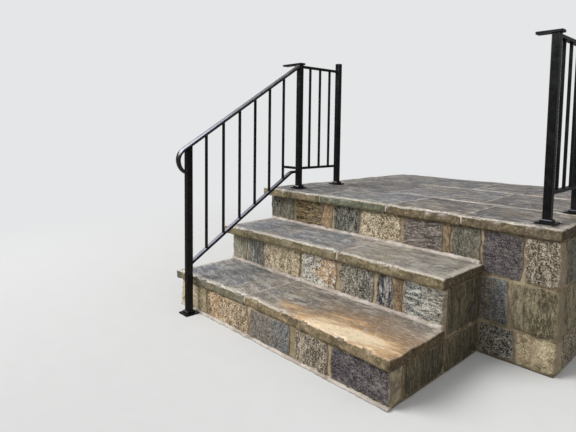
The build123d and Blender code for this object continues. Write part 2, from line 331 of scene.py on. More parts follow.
def carry(mesh, name, values):
    """Gives each point of a mesh a named number or vector."""
    values = np.array(values, np.float32)
    kind, field = ("FLOAT", "value") if values.ndim == 1 else ("FLOAT_VECTOR", "vector")
    mesh.attributes.new(name, kind, "POINT").data.foreach_set(field, values.ravel())


fieldstone, start = new_finish("fieldstone")
ground, second, shade, glint = (
    attribute(start, name, "Color") for name in ("ground", "second", "shade", "glint")
)
patches, flecks = (attribute(start, name) for name in ("patches", "flecks"))
place = start.node("ShaderNodeTexCoord", output="Object")
own = place.vector("ADD", place, attribute(start, "batch", "Vector"))
grain = own.vector("MULTIPLY", own, attribute(start, "grain", "Vector"))
grain = grain.vector("ADD", grain, noise(grain, 7, 2, output="Color").scaled(0.09))
clouds = noise(grain, 8, 5, 0.62)
body = blend(ground, second, rise(clouds + attribute(start, "side") * 0.27, 0.48, 0.56))
mottle = noise(grain, 50, 7, 0.79)
body = blend(body, shade, rise(mottle, 0.51, 0.565) * patches)
body = blend(body, glint, rise(1 - mottle, 0.52, 0.575) * patches)
blots = noise(grain, 20, 5, 0.72)
body = blend(body, shade, rise(blots, 0.54, 0.63) * 0.7)
body = blend(body, glint, rise(1 - blots, 0.55, 0.64) * 0.5)
speck = noise(own, 160, 4, 0.87)
body = blend(body, shade, rise(speck, 0.52, 0.58) * flecks)
body = blend(body, glint, rise(1 - speck, 0.53, 0.59) * flecks)
vein = noise(grain, 5, 4, 0.6) - 0.5
crack = 1 - rise(vein.math("ABSOLUTE", vein), 0.0, 0.010)
body = blend(body, paint(46, 40, 32), crack * rise(mottle, 0.46, 0.56) * 0.5)
# painted shade: darker in the hollows of each stone's face
cavity = attribute(start, "cavity")
body = blend(body, paint(60, 52, 40), rise(cavity, 0.3, 1.0) * 0.25)
margin = attribute(start, "margin") - (noise(own, 46, 4, 0.7) - 0.42) * 0.035
body = blend(body, paint(156, 140, 112), (1 - rise(margin, 0.001, 0.005)) * 0.6)
dullness = 0.86 - rise(1 - speck, 0.5, 0.7) * 0.3
height = mottle * 1.4 + speck * 0.8 - crack * 0.3
end_finish(body, dullness, height, relief=0.004, sheen=0.35)

stone_tree, given = new_tree(
    "facing stones",
    {
        "Across": "Int", "Through": "Int", "Up": "Int", "Corner round": "Float", "Corner pull": "Float",
        "Outline wobble": "Float", "Face relief": "Float", "Room low": "Vector", "Room high": "Vector",
        "Finish": "Material",
    },
)
points = given["Geometry"]


def named(start, name, kind="FLOAT_VECTOR"):
    """A named value that the tree's points carry."""
    return start.node("GeometryNodeInputNamedAttribute", {"data_type": kind}, {"Name": name}, "Attribute")


def stored(geometry, name, value, kind="FLOAT_VECTOR"):
    """Keeps a value on a geometry's points under a name."""
    settings = {"data_type": kind, "domain": "POINT"}
    inputs = {"Geometry": geometry, "Name": name, "Value": value}
    return geometry.node("GeometryNodeStoreNamedAttribute", settings, inputs)


# a cube for each stone, its grid crowded towards the edges
cube_sizes = {
    "Size": (2, 2, 2),
    "Vertices X": given["Across"], "Vertices Y": given["Through"], "Vertices Z": given["Up"],
}
cube = points.node("GeometryNodeMeshCube", None, cube_sizes)
spot = cube.node("GeometryNodeInputPosition")
remains = spot.vector("SUBTRACT", (1, 1, 1), spot.vector("ABSOLUTE", spot))
crowded = spot.vector("SUBTRACT", (1, 1, 1), spot.vector("POWER", remains, (crowding,) * 3))
cube = stored(cube, "local", spot.vector("MULTIPLY", crowded, spot.vector("SIGN", spot)))
stones = points.node("GeometryNodeInstanceOnPoints", None, {"Points": points, "Instance": cube})
stones = stones.node("GeometryNodeRealizeInstances", None, {"Geometry": stones})
# its corners rounded, its outline wobbled, and the stone turned into its wall
local, half, centre, batch = (named(stones, name) for name in ("local", "half_size", "centre", "batch"))
flat = local.vector("MULTIPLY", local, half)
inner = half.vector("SUBTRACT", half, given["Corner round"])
held = flat.vector("MAXIMUM", flat.vector("MINIMUM", flat, inner), inner.scaled(-1))
away = flat.vector("NORMALIZE", flat.vector("SUBTRACT", flat, held))
rounded = held.vector("ADD", held, away.scaled(given["Corner round"]))
where = centre.vector("ADD", centre.vector("ADD", centre, rounded), batch)
sway = where.vector("SUBTRACT", noise(where, 19, 4, 0.62, output="Color"), (0.5, 0.5, 0.5))
sway = sway.vector("MULTIPLY", sway, local).scaled(given["Outline wobble"] * 2)
sway = sway.vector("MULTIPLY", sway, (1, through_sway, 1))
sides = local.node("ShaderNodeSeparateXYZ", None, {0: local.vector("MULTIPLY", local, local)})
kept = 1 - sides * sides.other(2) * given["Corner pull"]
kept = kept.node("ShaderNodeCombineXYZ", None, {"X": kept, "Y": 1.0, "Z": kept})
shaped = sway.vector("ADD", sway, rounded.vector("MULTIPLY", rounded, kept))
turned = {"Vector": shaped, "Angle": named(stones, "turn", "FLOAT")}
turned = rounded.node("ShaderNodeVectorRotate", {"rotation_type": "Z_AXIS"}, turned)
stones = put(stones, centre.vector("ADD", centre, turned))
gap = half.vector("SUBTRACT", half, flat.vector("ABSOLUTE", flat))
gap = gap.node("ShaderNodeSeparateXYZ", None, {0: gap})
stones = stored(stones, "margin", gap.math("MINIMUM", gap, gap.other(2)), "FLOAT")
stones = stored(stones, "side", local.node("ShaderNodeSeparateXYZ", None, {0: local}), "FLOAT")
# its faces split in facets, broad swells and chips along the grain
lie = where.vector("MULTIPLY", where, named(stones, "grain"))
from_heart = lie.vector("SUBTRACT", lie, cells(lie, 15, "Position"))
tilt = lie.vector("SUBTRACT", cells(lie, 15, "Color"), (0.5, 0.5, 0.5))
facets = lie.node("ShaderNodeVectorMath", {"operation": "DOT_PRODUCT"}, {0: from_heart, 1: tilt}, "Value")
broad = noise(lie, 7, 3, 0.5) - 0.5
chips = noise(lie, 55, 4, 0.65) - 0.5
hollow = facets * 14 - broad * 1.5 - chips * 1.3
stones = stored(stones, "cavity", hollow, "FLOAT")
outward = stones.node("GeometryNodeInputNormal")
raised = hollow.math("MINIMUM", (-0.05 - hollow) * given["Face relief"], most_raised)
raised = raised.math("MAXIMUM", raised, -most_sunk)
stones = moved(stones, outward.scaled(raised))
spot = stones.node("GeometryNodeInputPosition")
spot = spot.vector("MAXIMUM", spot, given["Room low"])
stones = put(stones, spot.vector("MINIMUM", spot, given["Room high"]))
end_tree(stones, given["Finish"])


def wall_stones(name, corner, turn, course, fine=False, held_back=0.0):
    """Builds one wall's facing stones. The wall runs from its left corner, as
    one faces it, turned by so many degrees. Each stone of the course is
    (start, end, low, high, kind, depth). A fine wall's stones have a finer
    grid, and stones may be held back from the wall's face."""
    angle = math.radians(turn)
    along = np.array([math.cos(angle), math.sin(angle), 0])
    facing = np.array([math.sin(angle), -math.cos(angle), 0])
    centres, halves, kinds = [], [], []
    for begin, end, low, high, kind, depth in course:
        set_out = stone_proud - held_back - depth / 2
        middle = np.array(corner) + along * (begin + end) / 2 + facing * set_out
        centres.append((middle[0], middle[1], (low + high) / 2))
        halves.append(((end - begin) / 2 + tight_fit, depth / 2, (high - low) / 2 + tight_fit))
        kinds.append(stone_kinds[kind])
    count = len(centres)
    mesh = bare_mesh(name, centres)
    carry(mesh, "centre", centres)
    carry(mesh, "half_size", halves)
    carry(mesh, "turn", [angle] * count)
    carry(mesh, "batch", np.outer(np.arange(1, count + 1), pattern_step) + len(name))
    for column, part in enumerate(("ground", "second", "shade", "glint")):
        carry(mesh, part, [paint(*kind[column])[:3] for kind in kinds])
    carry(mesh, "patches", [kind[4] for kind in kinds])
    carry(mesh, "flecks", [kind[5] for kind in kinds])
    carry(mesh, "grain", [kind[6] for kind in kinds])
    across, through, up = fine_grid if fine else plain_grid
    sizes = {
        "Across": across,
        "Through": through,
        "Up": up,
        "Corner round": corner_round,
        "Corner pull": corner_pull,
        "Outline wobble": outline_wobble,
        "Face relief": face_relief,
        "Room low": tuple(np.array(frame_box[0]) + room_margin),
        "Room high": tuple(np.array(frame_box[1]) - room_margin),
        "Finish": fieldstone,
    }
    piece = grow(name, mesh, stone_tree, sizes)
    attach(piece, "root")


left_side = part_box("landing_base")[0].x
right_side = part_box("landing_base")[1].x
back_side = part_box("landing_base")[1].y
step_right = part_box("bottom_step_base")[1].x
risers = [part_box(node)[0].y for node in core_nodes]
bed_levels = [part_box(node)[1].z for node in core_nodes]
tread_tops = [0.0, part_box("tread_1_left")[1].z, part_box("tread_2_left")[1].z]
slab_overhang = left_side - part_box("tread_1_left")[0].x

# the stones of the three risers: their ends, in metres from the slabs' left end, and their kinds
riser_courses = (
    (
        (0.008, 0.250, "tan"), (0.256, 0.590, "golden"), (0.600, 0.872, "brown"),
        (0.900, 1.085, "flecked"), (1.104, 1.377, "slate"),
    ),
    (
        (0.008, 0.140, "green"), (0.148, 0.290, "streaked"), (0.296, 0.580, "tan_yellow"),
        (0.590, 0.823, "salt"), (0.848, 1.040, "olive"), (1.062, 1.142, "blue"),
        (1.148, 1.190, "rust"), (1.196, 1.377, "white"),
    ),
    (
        (0.001, 0.076, "dark_grey"), (0.082, 0.204, "dark_green"), (0.222, 0.437, "layered"),
        (0.443, 0.514, "orange"), (0.526, 0.712, "dark_grey"), (0.718, 0.966, "cream"),
        (0.984, 1.194, "purple"), (1.200, 1.232, "rust"), (1.240, 1.372, "dark_green"),
    ),
)
foot_gap = 0.007
for number, joints in enumerate(riser_courses):
    low = tread_tops[number] + foot_gap
    high = bed_levels[number] - foot_gap / 2
    depths = [corner_depth] + [stone_depth] * (len(joints) - 2) + [right_returns[number]]
    course = [
        (begin - slab_overhang, end - slab_overhang, low, high, kind, depth)
        for (begin, end, kind), depth in zip(joints, depths)
    ]
    wall_stones(f"riser_{number + 1}_stones", (left_side, risers[number], 0), 0, course, fine=True)

dice = random.Random(11)
narrowest, widest = 0.16, 0.36
half_joint = course_joint / 2
end_gap = 0.012
back_gap = 0.006


def plain_course(begin, end, low, high):
    """Stones of random widths that fill one course of a plain wall."""
    course = []
    while end - begin > course_joint * 2:
        width = dice.uniform(narrowest, widest)
        stop = end if end - begin - width < narrowest else begin + width
        course.append((begin, stop - course_joint, low, high, dice.choice(plain_kinds), stone_depth))
        begin = stop
    return course


course_lows = (course_joint, course_tops[0] + course_joint, course_tops[1] + course_joint)
past_corner = corner_depth + half_joint
cheek_end = risers[2] - risers[0] - half_joint
cheek_split = (risers[2] - risers[0]) * cheek_share
upper_start = risers[1] - risers[0] + right_returns[1] + half_joint
# the right cheek's stones are of the dark cheek kind, partly their own colour and partly painted shade
cheek_stones = [
    (past_corner, cheek_split - half_joint, course_lows[0], course_tops[0], "cheek", stone_depth),
    (cheek_split + half_joint, cheek_end, course_lows[0], course_tops[0], "cheek", stone_depth),
    (upper_start, cheek_end, course_lows[1], course_tops[1], "cheek", stone_depth),
]
wall_stones("right_cheek_stones", (step_right, risers[0], 0), 90, cheek_stones, fine=True)

front_width = right_side - step_right
front_shifts = (0.0, -0.03, 0.02)
front_kinds = (("olive", "tan"), ("brown", "cheek_light"), ("slate", "flecked"))
landing_front = []
for low, high, shift, (inner_kind, outer_kind) in zip(course_lows, course_tops, front_shifts, front_kinds):
    split = front_width / 2 + shift
    landing_front += [
        (half_joint, split, low, high, inner_kind, stone_depth),
        (split + course_joint, front_width + corner_lap, low, high, outer_kind, corner_depth),
    ]
wall_stones("landing_front_stones", (step_right, risers[2], 0), 0, landing_front)

landing_length = back_side - risers[2]
right_wall = [
    stone
    for low, high in zip(course_lows, course_tops)
    for stone in plain_course(past_corner, landing_length - end_gap, low, high)
]
wall_stones("landing_right_stones", (right_side, risers[2], 0), 90, right_wall)

left_wall = [
    stone
    for low, high, riser in zip(course_lows, course_tops, risers)
    for stone in plain_course(end_gap, back_side - riser - past_corner, low, high)
]
wall_stones("left_side_stones", (left_side, back_side, 0), -90, left_wall)

back_wall = [
    stone
    for low, high in zip(course_lows, course_tops)
    for stone in plain_course(back_gap, right_side - left_side - back_gap, low, high)
]
wall_stones("landing_back_stones", (right_side, back_side, 0), 180, back_wall, held_back=0.004)

# The pointing. Lime mortar fills the joints between the slabs, flush or a
# hair below them, and a fillet of it seals the foot of each riser.
fillet_radius = 0.0125
joint_radius = 0.0075
joint_sink = 0.0072
front_sink = 0.011
back_stop = 0.003
bead_step = 0.005
lowest_mortar = 0.0003
no_limit = -9
same_level = 1e-5

pale_mortar, start = new_finish("pale_pointing")
place = start.node("ShaderNodeTexCoord", output="Object")
sand = noise(place, 300, 5, 0.75)
cloud = noise(place, 11, 5, 0.62)
lime = blend(paint(178, 166, 154), paint(212, 202, 192), rise(cloud, 0.42, 0.58))
lime = blend(lime, paint(132, 118, 106), rise(noise(place, 27, 5, 0.7), 0.53, 0.66) * 0.6)
lime = blend(lime, paint(92, 84, 72), rise(sand, 0.53, 0.63) * 0.45)
lime = blend(lime, paint(222, 214, 202), rise(1 - sand, 0.53, 0.63) * 0.4)
end_finish(lime, 0.95 - cloud * 0.1, sand + noise(place, 60, 3), relief=0.002, sheen=0.25)

pointing_tree, given = new_tree("pointing", {"Radius": "Float", "Step": "Float", "Finish": "Material"})
line = given["Geometry"].node("GeometryNodeMeshToCurve", None, {"Mesh": given["Geometry"]})
line = line.node("GeometryNodeResampleCurve", {"mode": "LENGTH"}, {"Curve": line, "Length": given["Step"]})
ring = line.node("GeometryNodeCurvePrimitiveCircle", None, {"Resolution": 12, "Radius": given["Radius"]})
bead = line.node("GeometryNodeCurveToMesh", None, {"Curve": line, "Profile Curve": ring, "Fill Caps": True})
spot = bead.node("GeometryNodeInputPosition")
outward = bead.node("GeometryNodeInputNormal")
lumps = (noise(spot, 28, 3) - 0.5) * 1.4 + (noise(spot, 110, 3) - 0.5) * 0.7
bead = moved(bead, outward.scaled(lumps * given["Radius"]))
spot = bead.node("GeometryNodeInputPosition")
bead = put(bead, spot.vector("MAXIMUM", spot, (no_limit, no_limit, lowest_mortar)))
end_tree(bead, given["Finish"])


def pointing(name, lines, radius):
    """Runs a bead of mortar along each line of points."""
    points, edges = [], []
    for line in lines:
        edges += [(len(points) + place, len(points) + place + 1) for place in range(len(line) - 1)]
        points += line
    sizes = {"Radius": radius, "Step": bead_step, "Finish": pale_mortar}
    piece = grow(name, bare_mesh(name, points, edges), pointing_tree, sizes)
    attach(piece, "root")


foot_lines = [[(left_side, riser, top), (step_right, riser, top)] for riser, top in zip(risers, tread_tops)]
pointing("riser_foot_pointing", foot_lines, fillet_radius)


def bed_rows(node):
    """A slab's front and back corners from left to right, seen from above."""
    corners = np.array([vertex.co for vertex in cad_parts[node].data.vertices])
    bed = corners[corners[:, 2] < corners[:, 2].min() + same_level]
    bed = bed[np.argsort(bed[:, 0])]
    at_back = bed[:, 1] > bed[:, 1].max() - same_level
    return bed[~at_back], bed[at_back]


def joint_line(left_node, right_node):
    """The middle of the joint between two neighbours, down its front as well."""
    left_front, left_back = bed_rows(left_node)
    right_front, right_back = bed_rows(right_node)
    low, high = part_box(left_node)
    back = (left_back[-1] + right_back[0]) / 2 - (0, back_stop, 0)
    front = (left_front[-1] + right_front[0]) / 2 + (0, front_sink, 0)
    top = high.z - joint_sink
    return [(back[0], back[1], top), (front[0], front[1], top), (front[0], front[1], low.z + joint_sink)]


tread_joints = [joint_line("tread_1_left", "tread_1_right"), joint_line("tread_2_left", "tread_2_right")]
pointing("tread_joint_pointing", tread_joints, joint_radius)

landing_rows = (
    ("landing_edge_1", "landing_edge_2", "landing_edge_3", "landing_edge_4"),
    ("landing_flag_1", "landing_flag_2", "landing_flag_3"),
    ("landing_flag_4", "landing_flag_5"),
)
landing_joints = [joint_line(*pair) for row in landing_rows for pair in zip(row, row[1:])]
bed_ends = (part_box("landing_edge_1")[0].x + front_sink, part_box("landing_edge_4")[1].x - front_sink)
joint_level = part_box("landing_edge_1")[1].z - joint_sink
for nearer, farther in zip(landing_rows, landing_rows[1:]):
    y = (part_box(nearer[0])[1].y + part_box(farther[0])[0].y) / 2
    landing_joints.append([(x, y, joint_level) for x in bed_ends])
pointing("landing_joint_pointing", landing_joints, joint_radius)

# The slabs. Treads and landing are flagstones of layered quartzite, cleft on
# top, with thin ledges where a layer broke off, and pitched with a chisel
# along every edge that shows, which leaves shell-shaped bites.
bite_depth = 0.012
chip_drop = 0.019
chip_reach = 0.030
face_draw = 0.003
ledge_height = 0.0016
top_waves = 0.006
rim_reach = 0.055
slab_rows = 12
lift_limits = (-0.0035, 0.0015)
worn_reach, worn_drop, bitten_drop = 0.012, 0.001, 0.002
seam_reach, seam_drop = 0.007, 0.002
far_off = 9.0
layers_per_noise, layer_middle = 24, 6.0
streak_stretch = (1.0, 3.2, 1.0)
slab_pattern_step = (3.1, 1.7, 0.6)
tread_row = ("tread_1_left", "tread_1_right", "tread_2_left", "tread_2_right")
# the cells of the slabs' grids: treads, the landing's edge, and its two rows of flags
cell_sizes = (0.0045, 0.005, 0.008, 0.009)
slab_cells = {node: cell for cell, row in zip(cell_sizes, (tread_row, *landing_rows)) for node in row}

slab_faces = {
    # shown sides, three colours of the cleft face, colour of the hewn edge, turn of the streaks
    "tread_1_left": ("front left", (118, 118, 117), (101, 105, 111), (139, 134, 125), (110, 105, 85), 10),
    "tread_1_right": ("front right", (120, 110, 96), (104, 100, 95), (136, 116, 90), (136, 118, 88), -8),
    "tread_2_left": ("front left", (132, 129, 124), (104, 108, 114), (158, 150, 141), (122, 111, 84), 4),
    "tread_2_right": ("front right", (142, 134, 119), (125, 121, 116), (163, 155, 141), (123, 111, 84), -5),
    "landing_edge_1": ("front left", (84, 82, 82), (58, 56, 56), (138, 132, 125), (134, 121, 93), 6),
    "landing_edge_2": ("front", (112, 112, 114), (76, 80, 88), (166, 163, 157), (98, 101, 82), -4),
    "landing_edge_3": ("front", (68, 62, 58), (48, 44, 45), (106, 98, 91), (102, 89, 65), 8),
    "landing_edge_4": ("front right", (82, 77, 72), (60, 57, 55), (122, 115, 105), (104, 92, 71), 3),
    "landing_flag_1": ("left", (84, 79, 78), (60, 57, 56), (136, 130, 124), (104, 94, 72), -6),
    "landing_flag_2": ("", (100, 99, 101), (72, 70, 73), (148, 144, 139), (104, 94, 72), 9),
    "landing_flag_3": ("right", (94, 89, 84), (68, 65, 64), (138, 132, 123), (104, 94, 72), -3),
    "landing_flag_4": ("left", (92, 93, 95), (66, 66, 67), (138, 133, 126), (104, 94, 72), 5),
    "landing_flag_5": ("right", (94, 89, 86), (68, 65, 66), (140, 134, 128), (104, 94, 72), -7),
}
# the band on the lowest tread, iron stain brightened in its middle by a painted highlight: its middle and its
# half lengths, in metres
band_slab, band_middle, band_half = "tread_1_right", (0.290, -1.045), (0.34, 0.13)


def along_streaks(place, turn):
    """A place turned and squeezed, so that a pattern on it runs in streaks."""
    turned = {"Vector": place, "Angle": turn}
    lie = place.node("ShaderNodeVectorRotate", {"rotation_type": "Z_AXIS"}, turned)
    return lie.vector("MULTIPLY", lie, streak_stretch)


def layers_at(place):
    """The height of the slab's face at a place, counted in layers."""
    return noise(place, 2.3, 4, 0.5, 0.7) * layers_per_noise


flagstone, start = new_finish("flagstone")
ground, cloud_colour, streak_colour, hewn = (
    attribute(start, name, "Color") for name in ("ground", "cloud", "streak", "hewn")
)
rim, wall, drop, pit, broken = (attribute(start, name) for name in ("rim", "wall", "drop", "pit", "broken"))
sideways = start.node("ShaderNodeSeparateXYZ", None, {0: attribute(start, "outward", "Vector")})
place = start.node("ShaderNodeTexCoord", output="Object")
own = place.vector("ADD", place, attribute(start, "batch", "Vector"))
lie = along_streaks(own, attribute(start, "turn"))
lie = lie.vector("ADD", lie, noise(lie, 2.2, 3, output="Color").scaled(0.30))
streaks = noise(lie, 4.5, 8, 0.66)
fine_streaks = noise(lie.vector("MULTIPLY", lie, (1, 1.7, 1)), 34, 6, 0.72)
clouds = noise(own, 3.0, 5, 0.6, 0.5)
grit = noise(own, 200, 4, 0.8)
# the cleft face: streaks and clouds, warm and pale and dark patches, and a pale rim that is partly wear and
# partly painted highlight
body = blend(ground, streak_colour, rise(streaks, 0.50, 0.57))
body = blend(body, cloud_colour, rise(clouds + (streaks - 0.5) * 0.6, 0.48, 0.57) * 0.9)
warmth = noise(own, 3.6, 4, 0.6, 0.4)
body = blend(body, paint(146, 130, 108), rise(1 - warmth, 0.50, 0.60) * 0.5)
pale = noise(own.vector("ADD", own, lie), 6, 7, 0.7, 0.6)
body = blend(body, paint(196, 192, 180), rise(pale, 0.515, 0.585) * 0.62)
body = blend(body, paint(58, 57, 56), rise(1 - pale, 0.52, 0.60) * 0.68)
# a pale rim along the shown edges: partly wear, partly painted highlight
ragged_rim = rim + (fine_streaks - 0.5) * 0.10 + (grit - 0.5) * 0.03
wear_and_highlight = (1 - rise(ragged_rim, 0.008, 0.042)) * (1 - wall)
body = blend(body, paint(214, 204, 186), wear_and_highlight * 0.85)
# the band: brown iron stain around a golden and cream middle, the stain's warm colour brightened into a painted
# highlight
flat_band = place.vector("MULTIPLY", attribute(start, "band", "Vector"), (1, 1, 0))
reach = place.node("ShaderNodeVectorMath", {"operation": "LENGTH"}, {0: flat_band}, "Value")
reach = reach + (streaks - 0.5) * 2.4 + (clouds - 0.5) * 1.0
rightward = flat_band.node("ShaderNodeSeparateXYZ", None, {0: flat_band}, "X")
body = blend(body, paint(146, 113, 76), (1 - rise(reach - rightward * 0.7, 0.8, 2.3)) * 0.9)
# golden and cream: warm stain with a painted highlight on it
body = blend(body, paint(214, 172, 120), 1 - rise(reach, 0.55, 1.15))
body = blend(body, paint(252, 228, 188), 1 - rise(reach, 0.25, 0.85))
# veins, the lips of the ledges, and grit
layers = layers_at(own)
step = layers.math("FRACT", layers)
ledge = rise(step, 0.80, 0.90) * (1 - rise(step, 0.93, 1.0))
body = blend(body, paint(58, 54, 50), rise(fine_streaks, 0.53, 0.62) * 0.5)
body = blend(body, paint(216, 210, 200), rise(1 - fine_streaks, 0.54, 0.63) * 0.6)
body = blend(body, paint(216, 208, 196), ledge * rise(clouds, 0.45, 0.6) * 0.35)
body = blend(body, paint(52, 48, 44), rise(grit, 0.54, 0.66) * 0.42)
body = blend(body, paint(222, 216, 206), rise(1 - grit, 0.55, 0.66) * 0.36)
# the hewn edges: pale along the top, partly wear and partly painted highlight; darker in the pits and towards
# the right ends, both painted shade
face_clouds = noise(own, 14, 6, 0.68, 0.4)
hewn = blend(hewn, paint(84, 74, 52), rise(face_clouds, 0.50, 0.60) * 0.7)
face_grit = noise(own, 75, 6, 0.78)
hewn = blend(hewn, paint(56, 48, 34), rise(face_grit, 0.53, 0.61) * 0.55)
hewn = blend(hewn, paint(186, 167, 130), rise(1 - face_grit, 0.53, 0.61) * 0.55)
# painted shade: darker in the pits of the hewn faces
hewn = blend(hewn, paint(60, 52, 36), rise(pit, 0.3, 0.9) * 0.3)
# pale along the top of the hewn face, outside the chips: partly wear, partly painted highlight
hewn = blend(hewn, paint(200, 182, 148), (1 - rise(drop + broken + (face_grit - 0.5), 0.05, 0.20)) * 0.5)
# painted shade: the hewn faces darken towards the right ends
painted_right_shade = rise(sideways + (face_clouds - 0.5), 0.5, 0.9) * (0.66 + (face_grit - 0.5) * 1.8)
hewn = blend(hewn, paint(56, 40, 16), painted_right_shade)
bare = rise(drop, 0.01, 0.08) * wall
bare = bare.math("MAXIMUM", bare, rise(broken + (face_grit - 0.5), 0.22, 0.42))
body = blend(body, hewn, bare)
dullness = 0.44 + (clouds - 0.5) * 0.5 + (grit - 0.5) * 0.3 + rise(drop, 0.0, 0.1) * 0.34
height = streaks * 2.6 + fine_streaks * 0.9 + grit * 0.35 + face_grit * wall * 1.6
end_finish(body, dullness, height, relief=0.0032, sheen=0.4)


def slab_blank(node, shown_sides, colours, turn, number):
    """A closed, finely gridded slab with the frame's outline, not yet hewn."""
    front, back = bed_rows(node)
    low, high = (np.array(corner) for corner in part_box(node))
    width = high[0] - low[0]
    depth = high[1] - front[:, 1].mean()
    across = round(width / slab_cells[node])
    along = round(depth / slab_cells[node])
    share = np.linspace(0, 1, across + 1)[None, :]
    reach = np.linspace(0, 1, along + 1)[:, None]
    front_x = front[0, 0] + (front[-1, 0] - front[0, 0]) * share
    front_y = np.interp(front_x[0], front[:, 0], front[:, 1])[None, :]
    back_x = back[0, 0] + (back[-1, 0] - back[0, 0]) * share
    x = front_x * (1 - reach) + back_x * reach
    y = front_y * (1 - reach) + high[1] * reach
    top = np.stack([x, y, np.full_like(x, high[2])], axis=2).reshape(-1, 3)
    place = np.arange(top.shape[0]).reshape(along + 1, across + 1)
    border = np.concatenate([place[0, :-1], place[:-1, -1], place[-1, :0:-1], place[:0:-1, 0]])
    rings = [border]
    points = [top]
    for row in range(1, slab_rows + 1):
        ring = top[border].copy()
        ring[:, 2] = high[2] + (low[2] - high[2]) * row / slab_rows
        rings.append(len(top) + (row - 1) * len(border) + np.arange(len(border)))
        points.append(ring)
    points = np.concatenate(points)
    around = [place[:-1, :-1], place[:-1, 1:], place[1:, 1:], place[1:, :-1]]
    quads = np.stack(around, axis=2).reshape(-1, 4).tolist()
    for upper, lower in zip(rings, rings[1:]):
        quads += np.stack([upper, lower, np.roll(lower, -1), np.roll(upper, -1)], axis=1).tolist()
    quads.append(rings[-1][::-1].tolist())
    sides = {
        "front": (reach * depth, (0, -1, 0)),
        "left": (share * width, (-1, 0, 0)),
        "right": ((1 - share) * width, (1, 0, 0)),
        "back": ((1 - reach) * depth, (0, 1, 0)),
    }
    rim = np.full(x.size, far_off)
    seam = np.full(x.size, far_off)
    outward = np.zeros((x.size, 3))
    for side, (distance, direction) in sides.items():
        distance = np.broadcast_to(distance, x.shape).reshape(-1)
        if side in shown_sides:
            rim = np.minimum(rim, distance)
            outward += np.clip(1 - distance / rim_reach, 0, 1)[:, None] ** 2 * np.array(direction)
        else:
            seam = np.minimum(seam, distance)
    outward /= np.maximum(np.linalg.norm(outward, axis=1), 1e-6)[:, None]
    every = np.concatenate([np.arange(x.size)] + [border] * slab_rows)
    count = len(every)
    mesh = bpy.data.meshes.new(node)
    mesh.from_pydata(points.tolist(), [], quads)
    carry(mesh, "rim", rim[every])
    carry(mesh, "seam", seam[every])
    carry(mesh, "outward", outward[every])
    carry(mesh, "wall", (np.arange(count) >= x.size).astype(float))
    carry(mesh, "drop", (high[2] - points[:, 2]) / (high[2] - low[2]))
    for part, colour in zip(("ground", "cloud", "streak", "hewn"), colours):
        carry(mesh, part, [paint(*colour)[:3]] * count)
    carry(mesh, "batch", [[number * step for step in slab_pattern_step]] * count)
    carry(mesh, "turn", [math.radians(turn)] * count)
    band = np.full((count, 3), far_off)
    if node == band_slab:
        band[:, :2] = (points[:, :2] - band_middle) / band_half
    carry(mesh, "band", band)
    return mesh


slab_tree, given = new_tree(
    "hewn slab",
    {
        "Bite depth": "Float", "Face draw": "Float", "Ledge height": "Float", "Waves": "Float",
        "Rim reach": "Float", "Chip drop": "Float", "Chip reach": "Float", "Finish": "Material",
    },
)
slab = given["Geometry"]
spot = slab.node("GeometryNodeInputPosition")
own = spot.vector("ADD", spot, named(slab, "batch"))
rim, seam, drop = (named(slab, name, "FLOAT") for name in ("rim", "seam", "drop"))
# the hewn edges: shells, bites broken out of the rim, and a foot that draws in
near_rim = 1 - rise(rim, 0.0, given["Rim reach"])
outward = named(slab, "outward")
sideways = outward.node("ShaderNodeSeparateXYZ", None, {0: outward})
corner = sideways * sideways.other("Y")
corner = corner.math("ABSOLUTE", corner) * 2
upper_face = 1 - rise(drop, 0.05, 0.75)
shells = 1 - rise(cells(own, 17), 0.02, 0.60)
small_shells = 1 - rise(cells(own, 42), 0.05, 0.62)
along_edge = own.vector("MULTIPLY", own, (1, 1, 0.3))
broken = (1 - rise(cells(along_edge, 15), 0.20, 0.62)) * rise(noise(own, 5, 2), 0.34, 0.50)
broken = broken + (noise(own, 60, 3, 0.6) - 0.45) * 0.6
broken = broken.math("MAXIMUM", broken, 0.0) * (1 - rise(rim, 0.0, given["Chip reach"]))
broken = broken * (1 - corner) * (1 - sideways * sideways * 0.75)
roughness = (noise(own, 70, 5, 0.7) - 0.5) * 0.7 + (noise(own, 6, 2) - 0.42) * 0.9
bite = shells * (0.25 + upper_face * 0.2) + small_shells * 0.25 + broken * upper_face * 0.5 + roughness
bite = bite.math("MAXIMUM", bite, 0.0) * given["Bite depth"]
heel = rise(drop, 0.78, 1.0)
pushed = outward.scaled((bite + heel * given["Face draw"]) * near_rim * -1)
# the cleft top: ledges and waves, chipped at the rim and rounded at the seams
layers = layers_at(own)
steps = layers.math("FLOOR", layers) + rise(layers.math("FRACT", layers), 0.80, 0.97)
sink = (steps * 0.5 - layer_middle) * given["Ledge height"]
lie = along_streaks(own, named(slab, "turn", "FLOAT"))
waves = (noise(own, 6, 2) - 0.5 + (noise(lie, 11, 5, 0.6) - 0.5) * 0.5) * given["Waves"]
chipped = (1 - rise(rim, 0.0, worn_reach)) * (worn_drop + small_shells * bitten_drop)
chipped = chipped + broken * given["Chip drop"]
seam_round = (1 - rise(seam, 0.0, seam_reach)) * seam_drop
lift = sink + waves
lift = lift.math("MAXIMUM", lift, lift_limits[0])
lift = lift.math("MINIMUM", lift, lift_limits[1]) - chipped - seam_round
upward = lift.node("ShaderNodeCombineXYZ", None, {"Z": lift * (1 - drop) * (1 - drop)})
slab = stored(slab, "pit", shells * 0.6 + small_shells * 0.5, "FLOAT")
slab = stored(slab, "broken", broken, "FLOAT")
slab = moved(slab, pushed.vector("ADD", pushed, upward))
end_tree(slab, given["Finish"])

